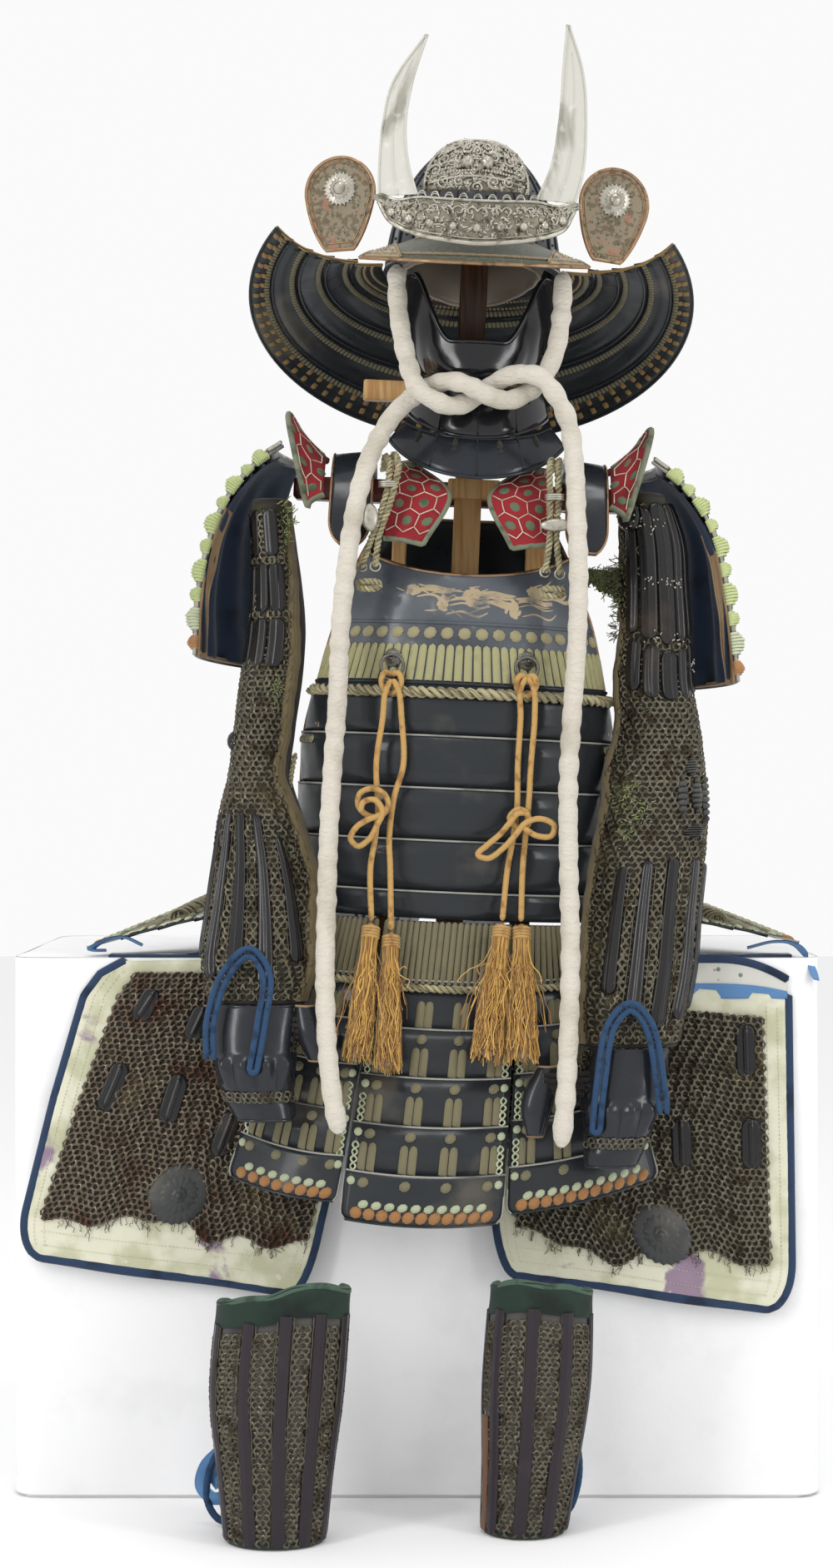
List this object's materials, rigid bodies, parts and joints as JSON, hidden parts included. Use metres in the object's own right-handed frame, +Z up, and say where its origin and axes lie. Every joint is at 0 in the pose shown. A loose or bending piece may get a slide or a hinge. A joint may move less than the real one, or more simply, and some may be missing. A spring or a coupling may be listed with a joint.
{
  "type": "samurai armour on armour stand",
  "caption": "Samurai armour on a wooden stand: horned helmet with wide neck guard, half mask, laced cuirass, mail sleeves, tassets, thigh and shin guards over a white cloth-covered plinth.",
  "frame": {"origin": "the middle of the plinth's underside, on the floor", "axes": "+Z up, -Y the way the armour faces, +X to the viewer's right"},
  "size_m": [0.88, 0.637, 1.5755],
  "materials": {
    "black_lacquer": "worn black lacquer on iron and leather",
    "slate_lacquer": "aged blue-grey lacquer with gold traces",
    "silver": "silvered openwork, darkened in its recesses",
    "printed_leather": "worn printed leather with a gilt rim",
    "red_quilting": "red cloth with hexagon stitching",
    "mail_cloth": "mail and splints on dark cloth",
    "quilted_silk": "worn pale silk, quilted, with a navy binding",
    "white_cotton": "padded white cotton cord",
    "liner_cloth": "soft beige cotton",
    "cover_cloth": "plain white cotton cover",
    "ochre_silk": "ochre silk cord and tassel strands",
    "navy_cord": "plaited navy cord",
    "wood_light": "clear light wood",
    "wood_red": "dark red lacquered wood"
  },
  "bodies": {
    "root": {"plinth": "cover_cloth", "stand_frame": "wood_light", "stand_shoulder_bar": "wood_red", "helmet_bowl": "black_lacquer", "crest": "silver", "visor": "printed_leather", "crest_ornament": "silver", "turnback_left": "printed_leather", "turnback_right": "printed_leather", "neck_lame_1": "black_lacquer", "neck_lame_2": "black_lacquer", "neck_lame_3": "black_lacquer", "neck_lame_4": "black_lacquer", "neck_lame_5": "black_lacquer", "helmet_liner": "liner_cloth", "face_mask": "black_lacquer", "throat_lame_upper": "black_lacquer", "throat_lame_lower": "black_lacquer", "breastplate": "slate_lacquer", "backplate": "black_lacquer", "shoulder_strap_left": "black_lacquer", "shoulder_strap_right": "black_lacquer", "collar_left": "red_quilting", "collar_right": "red_quilting", "shoulder_wing_left": "red_quilting", "shoulder_wing_right": "red_quilting", "breast_ring_left": "silver", "breast_ring_right": "silver", "tassel_cord_left": "ochre_silk", "tassel_cord_right": "ochre_silk", "tassel_knot_left": "ochre_silk", "tassel_knot_right": "ochre_silk", "chin_cord_left": "white_cotton", "chin_cord_right": "white_cotton", "shoulder_guard_left": "black_lacquer", "shoulder_guard_right": "black_lacquer", "sleeve_left": "mail_cloth", "sleeve_right": "mail_cloth", "hand_guard_left": "black_lacquer", "hand_guard_right": "black_lacquer", "hand_loop_left": "navy_cord", "hand_loop_right": "navy_cord", "thigh_guard_left": "quilted_silk", "thigh_guard_right": "quilted_silk", "shin_guard_left": "mail_cloth", "shin_guard_right": "mail_cloth", "shin_tie_left": "navy_cord", "shin_tie_right": "navy_cord", "tassel_left_outer": "ochre_silk", "tassel_left_inner": "ochre_silk", "tassel_right_inner": "ochre_silk", "tassel_right_outer": "ochre_silk", "thigh_guard_waistband": "quilted_silk", "tasset_front_center": "black_lacquer", "tasset_front_left": "black_lacquer", "tasset_front_right": "black_lacquer", "tasset_side_left": "black_lacquer", "tasset_side_right": "black_lacquer", "tasset_back_left": "black_lacquer", "tasset_back_right": "black_lacquer"}
  },
  "joints": []
}
